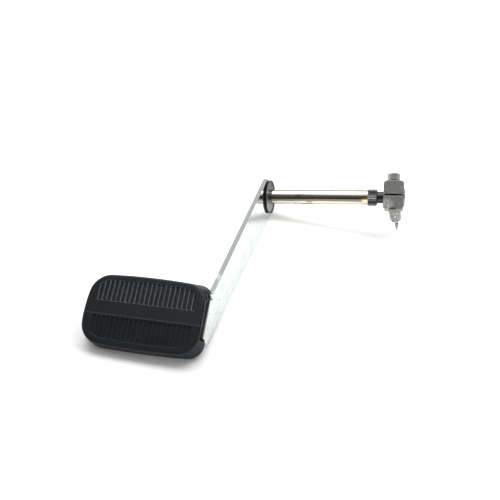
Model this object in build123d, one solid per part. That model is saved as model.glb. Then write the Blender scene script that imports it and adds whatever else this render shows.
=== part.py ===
"""Rear brake pedal: rubber pad on a folded steel arm, welded to a long pivot shaft.

The shaft lies along X, with the origin on its axis at the shoulder that holds the
cup washer against the arm; the bearing length starts there. The arm runs along -Y with its width upright, and its near end is
folded to -X as the plate that carries the rubber pad. A split clamp lever sits on
the far end of the shaft. Millimetres, +Z up.
"""
from build123d import *
from math import asin, atan2, cos, hypot, pi, radians, sin, tan
import os

# Pivot shaft
shaft_d = 19.05
journal_len = 127.9         # polished bearing length
spline_d = 21.0
spline_root_d = 19.2
spline_len = 11.1
spline_teeth = 30
neck_d = 14.4               # between the serrations and the clamp, and at the screw
neck_len = 8.1
shoulder_chamfer = 1.2
tail_d = 19.0               # plain ends of the part held in the clamp
tail_proud = 0.3            # how far the shaft stands out of the clamp's hub
spigot_d = 16.0             # end that passes through the washer and the arm
spigot_proud = 3.4

# Cup washer between the shaft's shoulder and the arm
washer_d = 44.0
washer_t = 0.8
washer_seat_d = 25.0        # flat middle
washer_dish = 1.8           # how far the rim stands away from the arm

# Weld ring on the arm's outer face
weld_leg = 3.4

# Arm, one steel plate cut to shape and folded
arm_t = 5.8
arm_end_r = 24.3            # rounded end about the shaft
arm_near_half = 15.2        # half of the arm's width at the fold
arm_reach = 240.2           # from the shaft to the middle of the fold line
fold_mid_z = 1.5
fold_tilt = 58.0            # fold line against the upright, in the arm's plane
fold_bend = 81.5            # how far the end is folded
fold_inner_r = 3.0
arm_corner_r = 4.0
arm_edge_r = 0.5

# Folded plate under the pad
plate_left = 115.5          # from the arm's inner face to the plate's free end
plate_h = 60.0
plate_corner_r = 15.0

# Rubber pad
pad_left = 121.0            # ends of the pad's face, from the arm's inner face
pad_right = 2.5
pad_h = 70.0
pad_side_bow = 2.4
pad_end_bow = 3.6
pad_corner_r = 21.0
pad_drop = 1.0              # the pad's middle below the fold's middle
back_grow = 2.9             # how much wider the back is, each side
back_drop = 0.1
back_shift = 0.7            # the back's middle to the right of the face's middle
back_end_bow = 1.4
back_left_r = 23.0
back_right_r = 15.0
rubber_t = 6.6              # rubber in front of the plate
lip_t = 3.0                 # rubber behind the plate
lip_w = 9.0                 # how far the lips reach in behind the plate
pad_edge_r = 2.2
crease_v = 7.0              # the face leans back below this line
crease_lean = 5.0
rib_pitch = 4.77
rib_count = 20
rib_w = 1.2
rib_shift = 1.1             # the ribs' middle to the right of the pad's middle
groove_depth = 1.2
field_border = 5.4
upper_field_end = -6.6
lower_field_start = 8.6
notch_top = 17.5            # gap at the end, where the arm's fold comes out
notch_slant = 6.0           # the gap is this much taller at the pad's back
notch_bottom = 19.2
notch_in = 3.8
notch_roof = 2.6            # rubber left over the gap
lug_up = 31.0               # lug of rubber round the fold's upper end
lug_skin = 0.2              # rubber outside the fold there
lug_w = 28.0
lug_r = 10.0

# Clamp lever on the end of the shaft
clamp_w = 23.2
clamp_front = 24.0          # from the shaft's axis to the clamp's front face
clamp_up = 17.3
clamp_down = 17.0
clamp_turn = 39.2           # the slit's direction above -Y
clamp_corner_r = 3.2
clamp_edge_r = 1.0
slit_w = 2.8
barrel_r = 16.0             # round back of the clamp
hub_r = 11.5                # face boss on the outer side
hub_proud = 1.0
boss_d = 14.8
boss_len = 38.6             # from the shaft's axis to the boss's rounded end
boss_round = 6.2
boss_lean = 9.9             # boss against the downward direction, towards +Y
boss_side_lean = 6.5        # and outwards along the shaft
boss_offset = -1.6          # boss beside the clamp's middle, along the shaft

# Pinch screw, 3/8 inch socket head
screw_d = 9.5
screw_clear = 0.3
screw_s = 16.0              # screw's axis in front of the shaft's axis
screw_offset = -0.7         # and beside the clamp's middle, along the shaft
screw_head_d = 14.2
screw_head_h = 9.0
screw_head_edge = 0.5
screw_socket = 7.94         # across the flats
screw_socket_depth = 4.8
screw_short = 1.6           # the screw ends inside the clamp's lower face
hole_chamfer = 1.0

# Stud in the end of the boss
stud_seat_d = 5.0
stud_seat_len = 7.0
stud_neck_d = 3.3
stud_neck_len = 2.6
stud_flare_len = 2.0
stud_head_d = 5.4
stud_head_len = 4.8         # straight part of the head
stud_point_len = 4.0
stud_point_d = 1.8          # blunt end of the point

# Frames that the pieces share
x_axis = Vector(1, 0, 0)
arm_face = -washer_t
fold_outer_r = fold_inner_r + arm_t
bend = radians(fold_bend)
tilt = radians(fold_tilt)
fold_down = Vector(0, -sin(tilt), -cos(tilt))
fold_out = Vector(0, -cos(tilt), sin(tilt))
fold_mid = Vector(arm_face, -arm_reach, fold_mid_z)
pad_across = x_axis * sin(bend) - fold_out * cos(bend)
pad_normal = fold_out * sin(bend) + x_axis * cos(bend)
plate_front = fold_outer_r * (1 - cos(bend))
plate_right = fold_outer_r * sin(bend)
clamp_x = journal_len + spline_len + neck_len
clamp_mid = clamp_x + clamp_w / 2
turn = radians(clamp_turn)
clamp_out = Vector(0, -cos(turn), sin(turn))
clamp_top = Vector(0, sin(turn), cos(turn))
lean = radians(boss_lean)
side_lean = radians(boss_side_lean)
boss_dir = Vector(sin(side_lean), cos(side_lean) * sin(lean), -cos(side_lean) * cos(lean))
boss_x = Vector(0, 1, 0).cross(boss_dir).normalized()
boss_origin = Vector(clamp_mid + boss_offset, 0, 0)


def pad_plane(height):
    """Plane parallel to the pad's face; x to the right, y up the pad."""
    return Plane(fold_mid + pad_normal * height, x_dir=pad_across, z_dir=pad_normal)


def level(height):
    """The same plane for a pad that lies flat, as it is shaped before it is put on the arm."""
    return Plane((0, 0, height))


def bar(x_from, x_to, diameter):
    """Round bar along the shaft's axis."""
    end = Plane((x_from, 0, 0), x_dir=(0, 1, 0), z_dir=(1, 0, 0))
    return extrude(end * Circle(diameter / 2), amount=x_to - x_from)


def make_shaft():
    """Turned shaft: spigot, washer seat, journal, serrations, neck and tail."""
    spline_end = journal_len + spline_len
    tail_end = clamp_x + clamp_w + hub_proud + tail_proud
    screw_half = screw_d / 2 + screw_clear
    shaft = bar(arm_face - arm_t - spigot_proud, 0, spigot_d)
    shaft += bar(0, journal_len, shaft_d)
    shaft += bar(spline_end, clamp_x, neck_d)
    tail = bar(clamp_x, tail_end, tail_d)
    tail = chamfer(tail.edges().group_by(Axis.X)[-1], shoulder_chamfer)
    # the screw passes the tail in a turned groove
    groove = bar(clamp_mid - screw_half, clamp_mid + screw_half, tail_d + 2)
    tail -= groove - bar(clamp_x, tail_end, neck_d)
    band = bar(journal_len, spline_end, spline_d)
    band = chamfer(band.edges().group_by(Axis.X)[-1], shoulder_chamfer)
    band &= serrated(journal_len, spline_end)
    return shaft + tail + band


def serrated(x_from, x_to):
    """Prism with V teeth all round, for the serrated band."""
    points = []
    for k in range(2 * spline_teeth):
        r = spline_d / 2 if k % 2 == 0 else spline_root_d / 2
        a = pi * k / spline_teeth
        points.append((r * cos(a), r * sin(a)))
    end = Plane((x_from, 0, 0), x_dir=(0, 1, 0), z_dir=(1, 0, 0))
    return extrude(end * Polygon(*points, align=None), amount=x_to - x_from)


def make_washer():
    """Thin pressed washer, flat in the middle and dished away from the arm."""
    hole = spigot_d / 2
    seat = washer_seat_d / 2
    rim = washer_d / 2
    rim_back = arm_face + washer_dish
    profile = Polygon(
        (arm_face, hole), (0, hole), (0, seat), (rim_back + washer_t, rim),
        (rim_back, rim), (arm_face, seat), align=None
    )
    return revolve(profile, Axis.X, 360)


def make_weld():
    """Weld ring round the spigot on the arm's outer face."""
    face = arm_face - arm_t
    root = spigot_d / 2
    belly = (face - weld_leg * 0.6, root + weld_leg * 0.6)
    bead = Polygon((face, root), (face, root + weld_leg), belly, (face - weld_leg, root), align=None)
    return revolve(bead, Axis.X, 360)


def arm_edges():
    """Taper angle of the arm, and where its edges meet the fold line."""
    reach = hypot(arm_reach, arm_near_half)
    taper = asin(arm_end_r / reach) - atan2(arm_near_half, arm_reach)
    corners = []
    for side in (1, -1):
        # edge line: z = side * (near_half + (y + reach) * tan(taper))
        slope = side * tan(taper)
        base = side * arm_near_half - fold_mid_z
        v = base / (-cos(tilt) + slope * sin(tilt))
        corners.append(v)
    return taper, corners[0], corners[1]


def make_arm():
    """Flat arm, its fold and the plate under the pad, all one piece."""
    taper, v_top, v_bottom = arm_edges()
    top = fold_mid + fold_down * v_top
    bottom = fold_mid + fold_down * v_bottom
    tangent = (-arm_end_r * sin(taper), arm_end_r * cos(taper))
    outline = Polygon(
        tangent, (top.Y, top.Z), (bottom.Y, bottom.Z), (tangent[0], -tangent[1]), align=None
    )
    outline += Circle(arm_end_r)
    corner = outline.vertices().sort_by_distance((bottom.Y, bottom.Z))[0]
    outline = fillet(corner, arm_corner_r)
    blank = extrude(Plane.YZ.offset(arm_face - arm_t) * outline, amount=arm_t)
    fold_line = Edge.make_line(top, bottom)
    long_edges = [
        e for e in blank.edges().filter_by(lambda e: abs(e.tangent_at(0.5).X) < 0.5)
        if e.distance_to(fold_line) > arm_t * 1.1
    ]
    blank = fillet(long_edges, arm_edge_r)
    blank -= bar(arm_face - 2 * arm_t, 0, spigot_d)

    # the fold, between the corner's rounding and the upper edge
    corner_half = (pi / 2 - tilt + taper) / 2
    neck_top = v_top
    neck_bottom = v_bottom - arm_corner_r / tan(corner_half)
    centre = (-fold_outer_r, 0)
    inner = fold_inner_r

    def on_bend(r, angle):
        return (centre[0] + r * cos(angle), centre[1] + r * sin(angle))

    section = make_face([
        Line(on_bend(inner, 0), on_bend(fold_outer_r, 0)),
        ThreePointArc(on_bend(fold_outer_r, 0), on_bend(fold_outer_r, bend / 2),
                      on_bend(fold_outer_r, bend)),
        Line(on_bend(fold_outer_r, bend), on_bend(inner, bend)),
        ThreePointArc(on_bend(inner, bend), on_bend(inner, bend / 2), on_bend(inner, 0)),
    ])
    across_fold = Plane(fold_mid + fold_down * neck_top, x_dir=x_axis, z_dir=fold_down)
    fold = extrude(across_fold * section, amount=neck_bottom - neck_top)

    width = plate_left - plate_right
    plate = pad_plane(plate_front) * Pos(-plate_right - width / 2, -pad_drop) * RectangleRounded(
        width, plate_h, plate_corner_r
    )
    # the plate is full height only past the fold
    neck = pad_plane(plate_front) * Pos(
        -plate_right - plate_corner_r / 2, -(neck_top + neck_bottom) / 2
    ) * Rectangle(plate_corner_r, neck_bottom - neck_top)
    return blank + fold + extrude(plate + neck, amount=-arm_t)


def pad_outline(grow, end_bow, left_r, right_r):
    """Rounded outline of the pad with bowed sides, about the pad's middle."""
    w = (pad_left - pad_right) / 2 + grow
    h = pad_h / 2 + grow
    cw = w - end_bow
    ch = h - pad_side_bow
    sides = [
        ThreePointArc((-cw, ch), (0, h), (cw, ch)),
        ThreePointArc((cw, ch), (w, 0), (cw, -ch)),
        ThreePointArc((cw, -ch), (0, -h), (-cw, -ch)),
        ThreePointArc((-cw, -ch), (-w, 0), (-cw, ch)),
    ]
    outline = make_face(sides)
    corners = outline.vertices().sort_by(Axis.X)
    outline = fillet(corners[:2], left_r)
    corners = outline.vertices().sort_by_distance((cw, 0))[:2]
    return fillet(corners, right_r)


def make_pad(arm):
    """Moulded rubber pad that grips the plate with lips at its back."""
    middle = Pos(-(pad_left + pad_right) / 2, -pad_drop)
    face_height = plate_front + rubber_t
    back_height = plate_front - arm_t - lip_t
    back = pad_outline(back_grow, back_end_bow, back_left_r, back_right_r)
    back = Pos(back_shift, pad_drop - back_drop) * back
    face = pad_outline(0, pad_end_bow, pad_corner_r, pad_corner_r)
    pad = loft([level(back_height) * middle * back, level(face_height) * middle * face])

    # the face leans back below the crease
    lean_plane = level(face_height) * Pos(0, -crease_v) * Rot(crease_lean, 0, 0)
    pad -= lean_plane * Pos(0, -pad_h, pad_h) * Box(4 * pad_left, 2 * pad_h, 2 * pad_h)
    rim = [e for e in pad.edges() if e.center().Z > face_height - pad_h * 0.06]
    outer = [e for e in rim if abs(e.tangent_at(0.5).X) < 0.999 or abs(e.center().Y + crease_v) > 1]
    pad = fillet(outer, pad_edge_r)

    for cutter in rib_grooves(face_height, middle):
        pad -= cutter
    lug = level(back_height) * Pos(lug_skin - lug_w / 2, lug_up / 2)
    pad += extrude(lug * RectangleRounded(lug_w, lug_up, lug_r), amount=plate_front - back_height)
    opening = pad_outline(-lip_w, pad_end_bow, back_right_r, back_right_r)
    pad -= extrude(level(back_height - 1) * middle * opening, amount=lip_t + 1)
    end_plane = Plane((-notch_in, 0, 0), x_dir=(0, 1, 0), z_dir=(1, 0, 0))
    notch = Polygon(
        (-notch_bottom, back_height - 1), (notch_top + notch_slant, back_height - 1),
        (notch_top, face_height - notch_roof), (-notch_bottom, face_height - notch_roof), align=None
    )
    pad -= extrude(end_plane * notch, amount=2 * (notch_in + back_grow))
    # the plate's own shape is the pocket; any loose flash left by it goes
    pad = pad_plane(0).location * pad
    return (pad - arm).solids().sort_by(SortBy.VOLUME)[-1]


def rib_grooves(face_height, middle):
    """Cutters for the grooves between the ribs, one for each of the two fields."""
    field_r = pad_corner_r - field_border
    field = pad_outline(-field_border, pad_end_bow, field_r, field_r)
    span = 2 * rib_count * rib_pitch
    stripes = [
        Pos(rib_shift + (k - rib_count / 2) * rib_pitch) * Rectangle(rib_pitch - rib_w, 2 * pad_h)
        for k in range(rib_count + 1)
    ]
    upper = Pos(0, pad_drop - upper_field_end + pad_h) * Rectangle(span, 2 * pad_h)
    lower = Pos(0, pad_drop - lower_field_start - pad_h) * Rectangle(span, 2 * pad_h)
    flat = level(face_height) * middle
    leaning = level(face_height) * Pos(0, -crease_v) * Rot(crease_lean, 0, 0)
    leaning = leaning * Pos(0, crease_v) * middle
    cutters = []
    for half, place in ((upper, flat), (lower, leaning)):
        grooves = [stripe & field & half for stripe in stripes]
        cutters += [extrude(place * g, amount=groove_depth, both=True) for g in grooves]
    return cutters


def make_clamp():
    """Forged split clamp with a round boss hanging from it."""
    front = Plane(Vector(clamp_mid, 0, 0), x_dir=x_axis, z_dir=clamp_out)
    height = clamp_up + clamp_down
    block = extrude(
        front * Pos(0, (clamp_up - clamp_down) / 2) * RectangleRounded(clamp_w, height, clamp_corner_r),
        amount=clamp_front,
    )
    block = fillet(block.faces().sort_by(Axis(origin=(0, 0, 0), direction=clamp_out))[-1].edges(),
                   clamp_edge_r)
    barrel = bar(clamp_x, clamp_x + clamp_w, 2 * barrel_r)
    barrel = chamfer(barrel.edges(), clamp_edge_r)
    hub = bar(clamp_mid, clamp_x + clamp_w + hub_proud, 2 * hub_r)
    hub = chamfer(hub.edges().group_by(Axis.X)[-1], clamp_edge_r)
    boss_end = Plane(boss_origin, x_dir=boss_x * -1, z_dir=boss_dir)
    boss = extrude(boss_end * Circle(boss_d / 2), amount=boss_len)
    boss = fillet(boss.edges().sort_by(Axis(origin=(0, 0, 0), direction=boss_dir))[-1], boss_round)
    lever = block + barrel + hub + boss

    lever -= bar(clamp_x - 1, clamp_x + clamp_w + 9, tail_d)
    slit = Plane(Vector(clamp_mid, 0, 0), x_dir=x_axis, z_dir=clamp_out)
    lever -= extrude(slit * Rectangle(clamp_w + 9, slit_w), amount=clamp_front + 1)
    # clearance hole above the slit, tapped hole below it
    axis = Plane(screw_point(0), x_dir=x_axis, z_dir=clamp_top)
    lever -= extrude(axis * Circle(screw_d / 2 + screw_clear), amount=clamp_up + 1)
    lever -= extrude(axis * Circle(screw_d / 2), amount=-clamp_down - 1)
    mouth = Plane(screw_point(-clamp_down), x_dir=x_axis, z_dir=clamp_top)
    lever -= mouth * Pos(0, 0, hole_chamfer / 2) * Cone(
        screw_d / 2 + hole_chamfer, screw_d / 2, hole_chamfer
    )
    lever -= extrude(boss_end * Circle(stud_seat_d / 2), amount=boss_len + 1) - extrude(
        boss_end * Circle(stud_seat_d), amount=boss_len - stud_seat_len
    )
    return lever


def screw_point(height):
    """Point on the screw's axis, measured up from the slit."""
    return Vector(clamp_mid + screw_offset, 0, 0) + clamp_out * screw_s + clamp_top * height


def make_screw():
    """Socket head screw through the clamp's two ears."""
    under_head = Plane(screw_point(clamp_up), x_dir=x_axis, z_dir=clamp_top)
    head = extrude(under_head * Circle(screw_head_d / 2), amount=screw_head_h)
    top_edge = head.edges().sort_by(Axis(origin=(0, 0, 0), direction=clamp_top))[-1]
    head = chamfer(top_edge, screw_head_edge)
    flats = RegularPolygon(screw_socket / 2, 6, major_radius=False)
    head -= extrude(under_head.offset(screw_head_h) * flats, amount=-screw_socket_depth)
    shank_len = clamp_up + clamp_down - screw_short
    return head + extrude(under_head * Circle(screw_d / 2), amount=-shank_len)


def make_stud():
    """Turned stud: seat in the boss, waisted neck and rounded head."""
    seat = stud_seat_d / 2
    neck = stud_neck_d / 2
    head = stud_head_d / 2
    neck_end = stud_neck_len
    head_start = neck_end + stud_flare_len
    head_end = head_start + stud_head_len
    tip = head_end + stud_point_len
    outline = [
        Line((0, -stud_seat_len), (seat, -stud_seat_len)),
        Line((seat, -stud_seat_len), (seat, 0)),
        Line((seat, 0), (neck, 0)),
        Line((neck, 0), (neck, neck_end)),
        Line((neck, neck_end), (head, head_start)),
        Line((head, head_start), (head, head_end)),
        Line((head, head_end), (stud_point_d / 2, tip)),
        Line((stud_point_d / 2, tip), (0, tip)),
        Line((0, tip), (0, -stud_seat_len)),
    ]
    body = revolve(make_face(outline), Axis.Y, 360)
    seat_plane = Plane(boss_origin + boss_dir * boss_len, x_dir=boss_x * -1, z_dir=boss_dir)
    return seat_plane * Rot(90, 0, 0) * body


os.makedirs("parts", exist_ok=True)
pedal_arm = make_arm()
pieces = {
    "pedal_arm": pedal_arm,
    "pedal_pad": make_pad(pedal_arm),
    "pivot_shaft": make_shaft(),
    "shaft_weld": make_weld(),
    "cup_washer": make_washer(),
    "clamp_lever": make_clamp(),
    "pinch_screw": make_screw(),
    "lever_stud": make_stud(),
}
for name, piece in pieces.items():
    export_step(piece, f"parts/{name}.step")
    size = piece.bounding_box().size
    print(name, round(piece.volume), [round(v, 1) for v in (size.X, size.Y, size.Z)])
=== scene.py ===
from math import radians
import bpy
from mathutils import Matrix, Vector


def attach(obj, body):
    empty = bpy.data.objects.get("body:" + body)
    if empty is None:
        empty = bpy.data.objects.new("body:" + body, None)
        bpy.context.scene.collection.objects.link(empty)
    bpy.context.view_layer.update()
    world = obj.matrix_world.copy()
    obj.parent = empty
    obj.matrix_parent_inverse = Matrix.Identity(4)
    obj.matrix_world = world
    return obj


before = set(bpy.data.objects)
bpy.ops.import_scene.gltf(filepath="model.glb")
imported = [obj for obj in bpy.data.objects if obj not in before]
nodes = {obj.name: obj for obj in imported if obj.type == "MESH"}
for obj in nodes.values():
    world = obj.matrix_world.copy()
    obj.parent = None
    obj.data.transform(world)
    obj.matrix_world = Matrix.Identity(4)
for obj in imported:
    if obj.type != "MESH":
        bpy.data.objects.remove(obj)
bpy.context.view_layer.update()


# Worn patches: a soft mask of uneven spots, used for plating, steel and rubber.
# Density sets how much of the surface is covered and Edge how soft the spots end.
def new_group(name, takes, gives):
    """An empty shader node group, with the kinds of its named inputs and outputs."""
    group = bpy.data.node_groups.new(name, "ShaderNodeTree")
    for way, sockets in (("INPUT", takes), ("OUTPUT", gives)):
        for label, kind in sockets.items():
            group.interface.new_socket(label, in_out=way, socket_type=kind)
    return group, group.nodes, group.links.new


def reckon(t, kind, operation, second=None, third=None):
    """A Math or VectorMath node, with its second and third values where no node feeds them."""
    node = t.new(kind)
    node.operation = operation
    if second is not None:
        node.inputs[1].default_value = second
    if third is not None:
        node.inputs[2].default_value = third
    return node


def ramp(t, start, end, low=0, high=1, soft=False):
    """A value that goes from low to high while the one that feeds it goes from start to end."""
    node = t.new("ShaderNodeMapRange")
    if soft:
        node.interpolation_type = "SMOOTHSTEP"
    limits = {"From Min": start, "From Max": end, "To Min": low, "To Max": high}
    for label, limit in limits.items():
        node.inputs[label].default_value = limit
    return node


patches, t, link = new_group(
    "Worn Patches",
    dict.fromkeys(("Scale", "Detail", "Density", "Edge"), "NodeSocketFloat"),
    {"Mask": "NodeSocketFloat"},
)
given = t.new("NodeGroupInput")
coords = t.new("ShaderNodeTexCoord")
noise = t.new("ShaderNodeTexNoise")
noise.inputs["Roughness"].default_value = 0.6
lower = reckon(t, "ShaderNodeMath", "SUBTRACT")
lower.inputs[0].default_value = 1
upper = reckon(t, "ShaderNodeMath", "ADD")
spread = ramp(t, 0, 1, soft=True)
result = t.new("NodeGroupOutput")
link(coords.outputs["Object"], noise.inputs["Vector"])
link(given.outputs["Scale"], noise.inputs["Scale"])
link(given.outputs["Detail"], noise.inputs["Detail"])
link(given.outputs["Density"], lower.inputs[1])
link(lower.outputs[0], upper.inputs[0])
link(given.outputs["Edge"], upper.inputs[1])
link(noise.outputs["Fac"], spread.inputs["Value"])
link(lower.outputs[0], spread.inputs["From Min"])
link(upper.outputs[0], spread.inputs["From Max"])
link(spread.outputs["Result"], result.inputs["Mask"])

# Rough skin: a bumped normal of fine grain, for moulded, forged and welded surfaces.
# Grain is the texture's scale, Depth its height in metres.
skin, t, link = new_group(
    "Rough Skin",
    {"Grain": "NodeSocketFloat", "Depth": "NodeSocketFloat", "Normal": "NodeSocketVector"},
    {"Normal": "NodeSocketVector"},
)
given = t.new("NodeGroupInput")
coords = t.new("ShaderNodeTexCoord")
noise = t.new("ShaderNodeTexNoise")
noise.inputs["Detail"].default_value = 3
bump = t.new("ShaderNodeBump")
bump.inputs["Strength"].default_value = 1
result = t.new("NodeGroupOutput")
link(coords.outputs["Object"], noise.inputs["Vector"])
link(given.outputs["Grain"], noise.inputs["Scale"])
link(noise.outputs["Fac"], bump.inputs["Height"])
link(given.outputs["Depth"], bump.inputs["Distance"])
link(given.outputs["Normal"], bump.inputs["Normal"])
link(bump.outputs["Normal"], result.inputs["Normal"])

# Edge highlight: a mask of the sharp edges for painted highlights, found where a bevelled
# normal leaves the true one, and that bevelled normal itself. Radius is the bevel's, Width how
# soon the mask is full.
edge_highlight, t, link = new_group(
    "Edge Highlight",
    {"Radius": "NodeSocketFloat", "Width": "NodeSocketFloat"},
    {"Mask": "NodeSocketFloat", "Normal": "NodeSocketVector"},
)
bevel_samples = 8
still_flat = 0.99    # the normals agree this well away from an edge
given = t.new("NodeGroupInput")
rounded = t.new("ShaderNodeBevel")
rounded.samples = bevel_samples
true = t.new("ShaderNodeNewGeometry")
agree = reckon(t, "ShaderNodeVectorMath", "DOT_PRODUCT")
edge = ramp(t, still_flat, 1)
result = t.new("NodeGroupOutput")
link(given.outputs["Radius"], rounded.inputs["Radius"])
link(rounded.outputs["Normal"], agree.inputs[0])
link(true.outputs["Normal"], agree.inputs[1])
link(agree.outputs["Value"], edge.inputs["Value"])
link(given.outputs["Width"], edge.inputs["From Max"])
link(edge.outputs["Result"], result.inputs["Mask"])
link(rounded.outputs["Normal"], result.inputs["Normal"])


# Pad: moulded black rubber, pushed over the arm's folded end. Dust pales it in spots, and a
# painted highlight pales the ribs' edges, mostly the right-hand ones. Below the crease the face
# is painted darker as painted shade, while the side walls keep their colour and sheen, and a
# thin painted highlight follows the crease.
def new_finish(name):
    """A new material, with its nodes, its link call and its shader."""
    finish = bpy.data.materials.new(name)
    finish.use_nodes = True
    t = finish.node_tree.nodes
    return finish, t, finish.node_tree.links.new, t["Principled BSDF"]


def placed(t, group, **values):
    """A node group placed in a material with its own values."""
    node = t.new("ShaderNodeGroup")
    node.node_tree = group
    for label, value in values.items():
        node.inputs[label].default_value = value
    return node


def blend(t, first=None, second=None):
    """A mix of two colours. A side that another node feeds is left out."""
    node = t.new("ShaderNodeMix")
    node.data_type = "RGBA"
    if first:
        node.inputs["A"].default_value = (*first, 1)
    if second:
        node.inputs["B"].default_value = (*second, 1)
    return node


def cover(piece, finish):
    """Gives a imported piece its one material."""
    mesh = nodes[piece].data
    mesh.materials.clear()
    mesh.materials.append(finish)
    for face in mesh.polygons:
        face.material_index = 0


rubber_black = (0.0090, 0.0115, 0.0150)
rubber_dusty = (0.0170, 0.0205, 0.0250)
# painted shade on the face below the crease
rubber_shaded = (0.0115, 0.0135, 0.0170)
# painted highlight on the ribs' edges, mostly the right-hand ones
rib_highlight = (0.36, 0.375, 0.385)
down_pad = (0, -0.848, -0.530)
out_of_pad = (0, -0.530, 0.848)
crease_way = 0.2097          # from the origin down the pad to the crease, in metres
crease_half = 0.0004         # half the paler line's width
crease_top = 0.2090          # the face is unshaded above this
crease_foot = 0.2106         # and fully in painted shade below this
kept_below = 0.58            # how much of the unshaded colour is left below the crease
crease_line = 0.10           # how strong the painted highlight along the crease is
wall_from = 0.9              # a face turned this little out of the pad begins to be a wall
wall_full = 0.6
right_from = 0.02            # sideways part of the normal on the edges that get the painted highlight
right_full = 0.30
left_share = 0.15            # how much of the painted highlight the left-hand edges have
lower_share = 0.10           # and how much the edges below the crease have
dull_roughness = 0.50
fresh_roughness = 0.42
rubber_shine = 0.27
rubber, t, link, shader = new_finish("black_rubber")
spots = placed(t, patches, Scale=60, Detail=6, Density=0.42, Edge=0.25)
tint = blend(t, rubber_black, rubber_dusty)
edges = placed(t, edge_highlight, Radius=0.0006, Width=0.90)
grain = placed(t, skin, Grain=700, Depth=0.00006)
true = t.new("ShaderNodeNewGeometry")
coords = t.new("ShaderNodeTexCoord")
down = reckon(t, "ShaderNodeVectorMath", "DOT_PRODUCT", down_pad)
above = ramp(t, crease_foot, crease_top, low=kept_below)
# a thin painted highlight along the crease
crease = reckon(t, "ShaderNodeMath", "COMPARE", crease_way, crease_half)
crease_highlight = reckon(t, "ShaderNodeMath", "MULTIPLY", crease_line)
either = reckon(t, "ShaderNodeMath", "MAXIMUM")
outward = reckon(t, "ShaderNodeVectorMath", "DOT_PRODUCT", out_of_pad)
wall = ramp(t, wall_from, wall_full)
unshaded = reckon(t, "ShaderNodeMath", "MAXIMUM")
sheen = ramp(t, kept_below, 1, dull_roughness, fresh_roughness)
facing = t.new("ShaderNodeSeparateXYZ")
right_side = ramp(t, right_from, right_full, low=left_share)
sided = reckon(t, "ShaderNodeMath", "MULTIPLY")
less = ramp(t, kept_below, 1, low=lower_share)
# where the ribs' edges get the painted highlight
pale_mask = reckon(t, "ShaderNodeMath", "MULTIPLY")
# painted shade below the crease, kept off the side walls
shade = blend(t, rubber_shaded)
paled = blend(t, second=rib_highlight)
link(spots.outputs["Mask"], tint.inputs["Factor"])
link(coords.outputs["Object"], down.inputs[0])
link(down.outputs["Value"], above.inputs["Value"])
link(edges.outputs["Normal"], facing.inputs["Vector"])
link(facing.outputs["X"], right_side.inputs["Value"])
link(edges.outputs["Mask"], sided.inputs[0])
link(right_side.outputs["Result"], sided.inputs[1])
link(sided.outputs[0], pale_mask.inputs[0])
link(above.outputs["Result"], less.inputs["Value"])
link(less.outputs["Result"], pale_mask.inputs[1])
link(true.outputs["Normal"], outward.inputs[0])
link(outward.outputs["Value"], wall.inputs["Value"])
link(above.outputs["Result"], unshaded.inputs[0])
link(wall.outputs["Result"], unshaded.inputs[1])
link(unshaded.outputs[0], shade.inputs["Factor"])
link(unshaded.outputs[0], sheen.inputs["Value"])
link(sheen.outputs["Result"], shader.inputs["Roughness"])
link(tint.outputs["Result"], shade.inputs["B"])
link(shade.outputs["Result"], paled.inputs["A"])
link(down.outputs["Value"], crease.inputs[0])
link(crease.outputs[0], crease_highlight.inputs[0])
link(pale_mask.outputs[0], either.inputs[0])
link(crease_highlight.outputs[0], either.inputs[1])
link(either.outputs[0], paled.inputs["Factor"])
link(paled.outputs["Result"], shader.inputs["Base Color"])
link(edges.outputs["Normal"], grain.inputs["Normal"])
link(grain.outputs["Normal"], shader.inputs["Normal"])
shader.inputs["Specular IOR Level"].default_value = rubber_shine
cover("pedal_pad", rubber)

# Arm: flat steel bar, folded at its end and bright plated, near a mirror with a faint green
# cast. Soft patches dull it here and there, and fine specks gather towards the pad.
# The fold's round corner is painted dark beside the rubber, a painted reflection of the black
# pad.
plate_bright = (0.67, 0.72, 0.70)
plate_clouded = (0.58, 0.62, 0.61)
plate_speck = (0.40, 0.43, 0.42)
# painted dark reflection of the black pad on the fold's round corner
fold_dark_reflection = (0.20, 0.207, 0.204)
specks_from = -0.13          # along the arm, in metres
specks_full = -0.23
few_specks = 0.12            # their strength at the shaft and at the pad
most_specks = 0.85
fold_from = -0.222
fold_full = -0.226
corner_turn = 0.70           # sideways part of the normal on the fold's round corner
corner_spread = 0.27
clear_roughness = 0.10
clouded_roughness = 0.26
plating, t, link, shader = new_finish("bright_plate")
cloud = placed(t, patches, Scale=55, Detail=4, Density=0.5, Edge=0.2)
tint = blend(t, plate_bright, plate_clouded)
specks = placed(t, patches, Scale=420, Detail=2, Density=0.42, Edge=0.1)
coords = t.new("ShaderNodeTexCoord")
place = t.new("ShaderNodeSeparateXYZ")
near = ramp(t, specks_from, specks_full, few_specks, most_specks, soft=True)
amount = reckon(t, "ShaderNodeMath", "MULTIPLY")
dulled = blend(t, second=plate_speck)
true = t.new("ShaderNodeNewGeometry")
facing = t.new("ShaderNodeSeparateXYZ")
turned = reckon(t, "ShaderNodeMath", "COMPARE", corner_turn, corner_spread)
folded = ramp(t, fold_from, fold_full)
corner = reckon(t, "ShaderNodeMath", "MULTIPLY")
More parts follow.
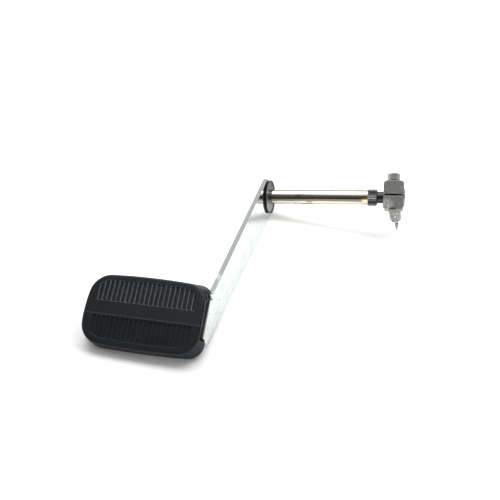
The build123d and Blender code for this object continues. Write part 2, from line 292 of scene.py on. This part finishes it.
# painted dark reflection on the fold's corner
fold_reflected = blend(t, second=fold_dark_reflection)
rough = ramp(t, 0, 1, clear_roughness, clouded_roughness)
link(cloud.outputs["Mask"], tint.inputs["Factor"])
link(coords.outputs["Object"], place.inputs["Vector"])
link(place.outputs["Y"], near.inputs["Value"])
link(specks.outputs["Mask"], amount.inputs[0])
link(near.outputs["Result"], amount.inputs[1])
link(amount.outputs[0], dulled.inputs["Factor"])
link(tint.outputs["Result"], dulled.inputs["A"])
link(true.outputs["Normal"], facing.inputs["Vector"])
link(facing.outputs["X"], turned.inputs[0])
link(place.outputs["Y"], folded.inputs["Value"])
link(turned.outputs[0], corner.inputs[0])
link(folded.outputs["Result"], corner.inputs[1])
link(dulled.outputs["Result"], fold_reflected.inputs["A"])
link(corner.outputs[0], fold_reflected.inputs["Factor"])
link(fold_reflected.outputs["Result"], shader.inputs["Base Color"])
link(cloud.outputs["Mask"], rough.inputs["Value"])
link(rough.outputs["Result"], shader.inputs["Roughness"])
shader.inputs["Metallic"].default_value = 1
cover("pedal_arm", plating)

# Shaft: turned and polished steel bar, welded into the arm, with a brown stain, a wavy band of
# painted dark reflection on its front and a yellowed end. The serrated band is the same steel,
# dark with old oil, and the neck past it is darker still.
steel_polished = (0.68, 0.67, 0.58)
# the stain's colour, also used for the band of painted dark reflection
steel_stain_and_reflection = (0.22, 0.20, 0.16)
steel_yellowed = (0.64, 0.58, 0.45)
steel_oiled = (0.20, 0.20, 0.195)
steel_neck_dark = (0.055, 0.055, 0.055)
streak_squeeze = (0.35, 1, 1)    # draws the streaks out along the shaft
streak_from = 0.50
streak_full = 0.60
stain_place = (0.0480, -0.0085, -0.0030)
stain_core = 0.0080          # distances from the stain's place, in metres
stain_reach = 0.0190
reflection_foot = 0.0000          # heights on the shaft's front
reflection_full = 0.0010
reflection_wave = 0.0022
front_from = -0.0075
front_full = -0.0087
yellow_from = 0.119          # places along the shaft
yellow_full = 0.123
oil_from = 0.1275
oil_full = 0.1282
neck_dark_from = 0.1385
neck_dark_full = 0.1392
bearing_roughness = 0.15
serrated_roughness = 0.40
steel, t, link, shader = new_finish("polished_steel")
coords = t.new("ShaderNodeTexCoord")
squeeze = t.new("ShaderNodeMapping")
squeeze.inputs["Scale"].default_value = streak_squeeze
streaks = t.new("ShaderNodeTexNoise")
streaks.inputs["Scale"].default_value = 130
streaks.inputs["Detail"].default_value = 5
stained = ramp(t, streak_from, streak_full, soft=True)
spot_way = reckon(t, "ShaderNodeVectorMath", "DISTANCE", stain_place)
spot = ramp(t, stain_reach, stain_core, soft=True)
stain = reckon(t, "ShaderNodeMath", "MULTIPLY")
place = t.new("ShaderNodeSeparateXYZ")
past = ramp(t, oil_from, oil_full)
worn_end = ramp(t, yellow_from, yellow_full)
clean = blend(t, steel_polished, steel_stain_and_reflection)
yellowed = blend(t, second=steel_yellowed)
oil_and_shade = blend(t, second=steel_oiled)
# a wavy band of painted dark reflection on the shaft's front
wavy = reckon(t, "ShaderNodeMath", "MULTIPLY_ADD", reflection_wave)
band = ramp(t, reflection_foot, reflection_full)
front = ramp(t, front_from, front_full)
dark_reflection = reckon(t, "ShaderNodeMath", "MULTIPLY")
either = reckon(t, "ShaderNodeMath", "MAXIMUM")
neck = ramp(t, neck_dark_from, neck_dark_full)
darkened = blend(t, second=steel_neck_dark)
rough = ramp(t, 0, 1, bearing_roughness, serrated_roughness)
link(coords.outputs["Object"], squeeze.inputs["Vector"])
link(squeeze.outputs["Vector"], streaks.inputs["Vector"])
link(streaks.outputs["Fac"], stained.inputs["Value"])
link(coords.outputs["Object"], place.inputs["Vector"])
link(place.outputs["X"], past.inputs["Value"])
link(place.outputs["X"], worn_end.inputs["Value"])
link(coords.outputs["Object"], spot_way.inputs[0])
link(spot_way.outputs["Value"], spot.inputs["Value"])
link(stained.outputs["Result"], stain.inputs[0])
link(spot.outputs["Result"], stain.inputs[1])
link(streaks.outputs["Fac"], wavy.inputs[0])
link(place.outputs["Z"], wavy.inputs[2])
link(wavy.outputs[0], band.inputs["Value"])
link(place.outputs["Y"], front.inputs["Value"])
link(band.outputs["Result"], dark_reflection.inputs[0])
link(front.outputs["Result"], dark_reflection.inputs[1])
link(stain.outputs[0], either.inputs[0])
link(dark_reflection.outputs[0], either.inputs[1])
link(either.outputs[0], clean.inputs["Factor"])
link(clean.outputs["Result"], yellowed.inputs["A"])
link(worn_end.outputs["Result"], yellowed.inputs["Factor"])
link(yellowed.outputs["Result"], oil_and_shade.inputs["A"])
link(past.outputs["Result"], oil_and_shade.inputs["Factor"])
link(place.outputs["X"], neck.inputs["Value"])
link(oil_and_shade.outputs["Result"], darkened.inputs["A"])
link(neck.outputs["Result"], darkened.inputs["Factor"])
link(darkened.outputs["Result"], shader.inputs["Base Color"])
link(past.outputs["Result"], rough.inputs["Value"])
link(rough.outputs["Result"], shader.inputs["Roughness"])
shader.inputs["Metallic"].default_value = 1
cover("pivot_shaft", steel)

# Weld ring: the bead that holds the shaft's spigot, plated over with the arm, rippled and
# rough. It shows only from the arm's outer side.
bead_bright = (0.60, 0.61, 0.60)
bead_brown = (0.32, 0.31, 0.29)
weld, t, link, shader = new_finish("weld_bead")
spots = placed(t, patches, Scale=220, Detail=3, Density=0.5, Edge=0.2)
tint = blend(t, bead_bright, bead_brown)
grain = placed(t, skin, Grain=500, Depth=0.0004)
link(spots.outputs["Mask"], tint.inputs["Factor"])
link(tint.outputs["Result"], shader.inputs["Base Color"])
link(grain.outputs["Normal"], shader.inputs["Normal"])
shader.inputs["Metallic"].default_value = 1
shader.inputs["Roughness"].default_value = 0.4
cover("shaft_weld", weld)

# Cup washer: pressed steel, slipped over the shaft's spigot against the arm. It is dark round
# its rim, most of all behind. Inside the dish it is pale spotted grey, painted darker towards
# the top as painted shade.
dish_pale = (0.36, 0.365, 0.35)
dish_spotted = (0.15, 0.15, 0.145)
# painted shade on the dish's upper part
dish_shade = (0.11, 0.11, 0.108)
rim_black = (0.030, 0.030, 0.030)
rim_shift = (0, 0.0032, -0.0010)    # puts the dark ring's centre before and above the axis
across_shaft = (0, 1, 1)
rim_from = 0.0184
rim_full = 0.0194
dish_shade_foot = -0.004
dish_shade_top = 0.008
cup, t, link, shader = new_finish("dark_steel")
coords = t.new("ShaderNodeTexCoord")
flat = reckon(t, "ShaderNodeVectorMath", "MULTIPLY_ADD", across_shaft, rim_shift)
radius = reckon(t, "ShaderNodeVectorMath", "LENGTH")
rim = ramp(t, rim_from, rim_full)
place = t.new("ShaderNodeSeparateXYZ")
# painted shade, darker towards the top
upper = ramp(t, dish_shade_foot, dish_shade_top)
darkened = blend(t, second=dish_shade)
spots = placed(t, patches, Scale=150, Detail=4, Density=0.5, Edge=0.25)
tint = blend(t, dish_pale, dish_spotted)
dark = blend(t, second=rim_black)
link(coords.outputs["Object"], flat.inputs[0])
link(flat.outputs["Vector"], radius.inputs[0])
link(radius.outputs["Value"], rim.inputs["Value"])
link(coords.outputs["Object"], place.inputs["Vector"])
link(place.outputs["Z"], upper.inputs["Value"])
link(spots.outputs["Mask"], tint.inputs["Factor"])
link(tint.outputs["Result"], darkened.inputs["A"])
link(upper.outputs["Result"], darkened.inputs["Factor"])
link(darkened.outputs["Result"], dark.inputs["A"])
link(rim.outputs["Result"], dark.inputs["Factor"])
link(dark.outputs["Result"], shader.inputs["Base Color"])
shader.inputs["Metallic"].default_value = 0.25
shader.inputs["Specular IOR Level"].default_value = 0.15
shader.inputs["Roughness"].default_value = 0.45
cover("cup_washer", cup)

# Clamp lever: forged grey steel, clamped on the shaft's end, with a painted highlight on its
# edges and a pale flecked patch low on the left of its front. The boss below is rougher and
# flecked, and the screw's way out at the lower edge is painted dark, as painted shade in the
# hole.
forged_dark = (0.24, 0.24, 0.225)
forged_pale = (0.48, 0.48, 0.46)
# pale flecks on the boss and the patch, and the painted highlight on the edges
forged_flecks_and_highlight = (0.66, 0.66, 0.64)
# painted shade in the screw's hole at the lower edge
hole_shade = (0.02, 0.02, 0.02)
clamp_turn = (radians(-39.2), 0, 0)
pale_patch_place = (0.1500, -0.0270, 0.0050)
pale_patch_core = 0.0055         # distances from that place, in metres
pale_patch_reach = 0.0115
boss_from = -0.0165          # heights of the rough boss's beginning
boss_full = -0.0195
hole_place = (0.1580, -0.0262, -0.0005)
hole_reach = (0.0048, 0.0060, 0.0022)
hole_from = 1.1              # shares of the hole's reach
hole_full = 0.9
forged, t, link, shader = new_finish("cast_grey")
spots = placed(t, patches, Scale=190, Detail=6, Density=0.45, Edge=0.25)
tint = blend(t, forged_dark, forged_pale)
coords = t.new("ShaderNodeTexCoord")
apart = reckon(t, "ShaderNodeVectorMath", "DISTANCE", pale_patch_place)
pale_mask = ramp(t, pale_patch_reach, pale_patch_core, soft=True)
place = t.new("ShaderNodeSeparateXYZ")
boss = ramp(t, boss_from, boss_full)
either = reckon(t, "ShaderNodeMath", "MAXIMUM")
flecks = placed(t, patches, Scale=520, Detail=3, Density=0.62, Edge=0.24)
some = reckon(t, "ShaderNodeMath", "MULTIPLY")
# the flecked patch and boss, and the edges' painted highlight
paled = reckon(t, "ShaderNodeMath", "MAXIMUM")
bright = blend(t, second=forged_flecks_and_highlight)
edges = placed(t, edge_highlight, Radius=0.0008, Width=0.84)
hole_way = t.new("ShaderNodeMapping")
hole_way.vector_type = "TEXTURE"
hole_way.inputs["Location"].default_value = hole_place
hole_way.inputs["Rotation"].default_value = clamp_turn
hole_way.inputs["Scale"].default_value = hole_reach
hole_far = reckon(t, "ShaderNodeVectorMath", "LENGTH")
hole = ramp(t, hole_from, hole_full)
# painted shade at the hole's exit
hole_shaded = blend(t, second=hole_shade)
grain = placed(t, skin, Grain=420, Depth=0.0004)
link(spots.outputs["Mask"], tint.inputs["Factor"])
link(coords.outputs["Object"], hole_way.inputs["Vector"])
link(hole_way.outputs["Vector"], hole_far.inputs[0])
link(hole_far.outputs["Value"], hole.inputs["Value"])
link(coords.outputs["Object"], apart.inputs[0])
link(apart.outputs["Value"], pale_mask.inputs["Value"])
link(coords.outputs["Object"], place.inputs["Vector"])
link(place.outputs["Z"], boss.inputs["Value"])
link(pale_mask.outputs["Result"], either.inputs[0])
link(boss.outputs["Result"], either.inputs[1])
link(either.outputs[0], some.inputs[0])
link(flecks.outputs["Mask"], some.inputs[1])
link(some.outputs[0], paled.inputs[0])
link(edges.outputs["Mask"], paled.inputs[1])
link(paled.outputs[0], bright.inputs["Factor"])
link(tint.outputs["Result"], bright.inputs["A"])
link(bright.outputs["Result"], hole_shaded.inputs["A"])
link(hole.outputs["Result"], hole_shaded.inputs["Factor"])
link(hole_shaded.outputs["Result"], shader.inputs["Base Color"])
link(edges.outputs["Normal"], grain.inputs["Normal"])
link(grain.outputs["Normal"], shader.inputs["Normal"])
shader.inputs["Metallic"].default_value = 0.3
shader.inputs["Roughness"].default_value = 0.45
cover("clamp_lever", forged)

# Pinch screw: turned steel across the clamp's slit, dull and spotted by age, its shank painted
# black below the head, as painted shade in the slit. Fine upright ridges, pale at their crests,
# stand round the head, made by instancing one ridge on a circle.
screw_pale = (0.62, 0.62, 0.60)
screw_spotted = (0.36, 0.36, 0.34)
crest_bright = (0.90, 0.90, 0.88)
# painted shade on the shank in the slit and as a dark line under the head
shank_shade = (0.02, 0.02, 0.02)
screw_way = (0, 0.632, 0.775)
shank_shade_top = 0.0178             # heights along the screw, in metres
head_foot = 0.0186
head_place = (0.1580, 0.00138, 0.02701)
head_radius = 0.0070
ridge_count = 28
ridge_radius = 0.00055
ridge_height = 0.0074
ridge_sides = 6
crest_from = 0.0071
crest_full = 0.0076
across_screw = (1, 1, 0)
screw, t, link, shader = new_finish("screw_steel")
spots = placed(t, patches, Scale=260, Detail=4, Density=0.5, Edge=0.2)
tint = blend(t, screw_pale, screw_spotted)
coords = t.new("ShaderNodeTexCoord")
along = reckon(t, "ShaderNodeVectorMath", "DOT_PRODUCT", screw_way)
head = ramp(t, shank_shade_top, head_foot)
axis_way = t.new("ShaderNodeMapping")
axis_way.vector_type = "TEXTURE"
axis_way.inputs["Location"].default_value = head_place
axis_way.inputs["Rotation"].default_value = clamp_turn
across = reckon(t, "ShaderNodeVectorMath", "MULTIPLY", across_screw)
radius = reckon(t, "ShaderNodeVectorMath", "LENGTH")
crest = ramp(t, crest_from, crest_full)
crested = blend(t, second=crest_bright)
# painted shade below the head
oil_and_shade = blend(t, shank_shade)
link(spots.outputs["Mask"], tint.inputs["Factor"])
link(coords.outputs["Object"], axis_way.inputs["Vector"])
link(axis_way.outputs["Vector"], across.inputs[0])
link(across.outputs["Vector"], radius.inputs[0])
link(radius.outputs["Value"], crest.inputs["Value"])
link(tint.outputs["Result"], crested.inputs["A"])
link(crest.outputs["Result"], crested.inputs["Factor"])
link(coords.outputs["Object"], along.inputs[0])
link(along.outputs["Value"], head.inputs["Value"])
link(head.outputs["Result"], oil_and_shade.inputs["Factor"])
link(crested.outputs["Result"], oil_and_shade.inputs["B"])
link(oil_and_shade.outputs["Result"], shader.inputs["Base Color"])
shader.inputs["Metallic"].default_value = 1
shader.inputs["Roughness"].default_value = 0.38
cover("pinch_screw", screw)

tree = bpy.data.node_groups.new("Knurled Head", "GeometryNodeTree")
knurl_sizes = (
    ("Ridges", "NodeSocketInt", ridge_count),
    ("Head Radius", "NodeSocketFloat", head_radius),
    ("Ridge Radius", "NodeSocketFloat", ridge_radius),
    ("Ridge Height", "NodeSocketFloat", ridge_height),
)
knurl_keys = {}
for label, kind, value in knurl_sizes:
    socket = tree.interface.new_socket(label, in_out="INPUT", socket_type=kind)
    knurl_keys[socket.identifier] = value
tree.interface.new_socket("Geometry", in_out="OUTPUT", socket_type="NodeSocketGeometry")
t = tree.nodes
link = tree.links.new
given = t.new("NodeGroupInput")
circle = t.new("GeometryNodeMeshCircle")
ridge = t.new("GeometryNodeMeshCylinder")
ridge.inputs["Vertices"].default_value = ridge_sides
spread = t.new("GeometryNodeInstanceOnPoints")
seat = t.new("GeometryNodeTransform")
seat.inputs["Translation"].default_value = head_place
seat.inputs["Rotation"].default_value = clamp_turn
plain = t.new("GeometryNodeRealizeInstances")
coat = t.new("GeometryNodeSetMaterial")
coat.inputs["Material"].default_value = screw
result = t.new("NodeGroupOutput")
link(given.outputs["Ridges"], circle.inputs["Vertices"])
link(given.outputs["Head Radius"], circle.inputs["Radius"])
link(given.outputs["Ridge Radius"], ridge.inputs["Radius"])
link(given.outputs["Ridge Height"], ridge.inputs["Depth"])
link(circle.outputs["Mesh"], spread.inputs["Points"])
link(ridge.outputs["Mesh"], spread.inputs["Instance"])
link(spread.outputs["Instances"], seat.inputs["Geometry"])
link(seat.outputs["Geometry"], plain.inputs["Geometry"])
link(plain.outputs["Geometry"], coat.inputs["Geometry"])
link(coat.outputs["Geometry"], result.inputs["Geometry"])
knurl = bpy.data.objects.new("head_knurl", bpy.data.meshes.new("head_knurl"))
bpy.context.collection.objects.link(knurl)
modifier = knurl.modifiers.new("knurl", "NODES")
modifier.node_group = tree
for key, value in knurl_keys.items():
    modifier[key] = value
bpy.context.view_layer.update()
grown = knurl.evaluated_get(bpy.context.evaluated_depsgraph_get())
shape = bpy.data.meshes.new_from_object(grown)
knurl.modifiers.remove(modifier)
knurl.data = shape
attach(knurl, "root")

# Stud: turned steel, plated, with a few dark spots.
# It is set into the boss's rounded end and hangs from it.
stud_pale = (0.36, 0.36, 0.34)
stud_spotted = (0.14, 0.14, 0.13)
stud, t, link, shader = new_finish("stud_plate")
spots = placed(t, patches, Scale=320, Detail=3, Density=0.42, Edge=0.2)
tint = blend(t, stud_pale, stud_spotted)
link(spots.outputs["Mask"], tint.inputs["Factor"])
link(tint.outputs["Result"], shader.inputs["Base Color"])
shader.inputs["Metallic"].default_value = 1
shader.inputs["Roughness"].default_value = 0.3
cover("lever_stud", stud)

# Floor: a plain white table, tilted in this frame as the pedal lies on it, on the pad's lower
# left corner, the arm's far edge and the stud's tip. Its faint glow lifts the shadows of the
# arm, shaft and lever more than the pad's, and keeps the table white far off.
table_up = Vector((0.1585, 0.0099, 1)).normalized()
table_radius = 4
table_sides = 96
table_white = (0.93, 0.93, 0.93, 1)
lever_from = -0.02           # along the shaft, in metres
lever_full = 0.055
arm_from = -0.27             # along the arm
arm_full = -0.17
far_from = 0.4               # away from the middle
far_full = 1.4
pad_glow = 0.05              # the glow at the pad, the arm and the lever
arm_glow = 0.30
lever_glow = 0.43
low = min(v.co.dot(table_up) for obj in nodes.values() for v in obj.data.vertices)
bpy.ops.mesh.primitive_circle_add(vertices=table_sides, radius=table_radius, fill_type="NGON")
floor = bpy.context.object
floor.name = "floor"
tilt = Vector((0, 0, 1)).rotation_difference(table_up).to_matrix().to_4x4()
floor.matrix_world = Matrix.Translation(table_up * low) @ tilt
paper, t, link, shader = new_finish("floor_white")
shader.inputs["Base Color"].default_value = table_white
shader.inputs["Roughness"].default_value = 0.9
shader.inputs["Emission Color"].default_value = (1, 1, 1, 1)
path = t.new("ShaderNodeLightPath")
coords = t.new("ShaderNodeTexCoord")
place = t.new("ShaderNodeSeparateXYZ")
under_lever = ramp(t, lever_from, lever_full, pad_glow, lever_glow, soft=True)
beside_arm = ramp(t, arm_from, arm_full, high=arm_glow, soft=True)
more = reckon(t, "ShaderNodeMath", "MAXIMUM")
reach = reckon(t, "ShaderNodeVectorMath", "LENGTH")
far = ramp(t, far_from, far_full, soft=True)
most = reckon(t, "ShaderNodeMath", "MAXIMUM")
seen = reckon(t, "ShaderNodeMath", "MAXIMUM")
clear = reckon(t, "ShaderNodeMath", "MAXIMUM")
glow = reckon(t, "ShaderNodeMath", "MULTIPLY")
link(coords.outputs["Object"], place.inputs["Vector"])
link(place.outputs["X"], under_lever.inputs["Value"])
link(place.outputs["Y"], beside_arm.inputs["Value"])
link(coords.outputs["Object"], reach.inputs[0])
link(reach.outputs["Value"], far.inputs["Value"])
link(under_lever.outputs["Result"], more.inputs[0])
link(beside_arm.outputs["Result"], more.inputs[1])
link(more.outputs[0], most.inputs[0])
link(far.outputs["Result"], most.inputs[1])
link(path.outputs["Is Camera Ray"], seen.inputs[0])
link(path.outputs["Is Glossy Ray"], seen.inputs[1])
link(seen.outputs[0], clear.inputs[0])
link(path.outputs["Is Transmission Ray"], clear.inputs[1])
link(clear.outputs[0], glow.inputs[0])
link(most.outputs[0], glow.inputs[1])
link(glow.outputs[0], shader.inputs["Emission Strength"])
floor.data.materials.append(paper)

# Light: one wide soft panel overhead, well behind the pedal and to its right.
# It gives the soft shadows towards the viewer and the broad bright band along the shaft.
panel_length = 2.4
panel_width = 0.8
panel_watts = 31
panel_place = (0.42, 0.52, 1.38)
lamp_data = bpy.data.lights.new("lamp", "AREA")
lamp_data.shape = "RECTANGLE"
lamp_data.size = panel_length
lamp_data.size_y = panel_width
lamp_data.energy = panel_watts
lamp = bpy.data.objects.new("lamp", lamp_data)
bpy.context.collection.objects.link(lamp)
lamp.location = panel_place

# Room: dim on the viewer's side, pale behind on the left and white straight overhead,
# as the shaft and the fold show it.
# The camera itself sees plain white past the table.
white_colour = (1, 1, 1, 1)
pale_way = (-0.5, 0.86, 0)
ceiling_way = (0.1, -0.05, 0.994)
dim_side = 0.12              # strengths of the room's light
pale_side = 0.65
ceiling_strength = 1.3
pale_from = -0.1             # how nearly a direction agrees with the pale and the white way
pale_full = 0.5
ceiling_from = 0.87
ceiling_full = 0.93
world = bpy.data.worlds.new("studio")
bpy.context.scene.world = world
world.use_nodes = True
t = world.node_tree.nodes
link = world.node_tree.links.new
room = t["Background"]
room.inputs["Color"].default_value = white_colour
white = t.new("ShaderNodeBackground")
white.inputs["Color"].default_value = white_colour
way = t.new("ShaderNodeTexCoord")
side = reckon(t, "ShaderNodeVectorMath", "DOT_PRODUCT", pale_way)
behind = ramp(t, pale_from, pale_full, dim_side, pale_side, soft=True)
overhead = reckon(t, "ShaderNodeVectorMath", "DOT_PRODUCT", ceiling_way)
ceiling = ramp(t, ceiling_from, ceiling_full, high=ceiling_strength, soft=True)
brightest = reckon(t, "ShaderNodeMath", "MAXIMUM")
path = t.new("ShaderNodeLightPath")
choose = t.new("ShaderNodeMixShader")
link(way.outputs["Generated"], side.inputs[0])
link(side.outputs["Value"], behind.inputs["Value"])
link(way.outputs["Generated"], overhead.inputs[0])
link(overhead.outputs["Value"], ceiling.inputs["Value"])
link(behind.outputs["Result"], brightest.inputs[0])
link(ceiling.outputs["Result"], brightest.inputs[1])
link(brightest.outputs[0], room.inputs["Strength"])
link(path.outputs["Is Camera Ray"], choose.inputs["Fac"])
link(room.outputs["Background"], choose.inputs[1])
link(white.outputs["Background"], choose.inputs[2])
link(choose.outputs["Shader"], t["World Output"].inputs["Surface"])

# Camera: the photo's place, direction and lens, found from the shaft and the arm.
# Its three directions are square to each other.
lens_data = bpy.data.cameras.new("photo")
lens_data.lens = 35.28
lens_data.sensor_width = 36
lens_data.clip_start = 0.01
camera = bpy.data.objects.new("photo", lens_data)
bpy.context.collection.objects.link(camera)
right = Vector((0.9499, 0.2735, -0.1514))
up = Vector((-0.0409, 0.5889, 0.8072))
back = Vector((0.3099, -0.7606, 0.5705))
camera_place = Vector((0.17996, -0.54487, 0.31894))
turn = Matrix((right, up, back)).transposed().to_4x4()
camera.matrix_world = Matrix.Translation(camera_place) @ turn
bpy.context.scene.camera = camera
bpy.context.scene.view_settings.view_transform = "Standard"
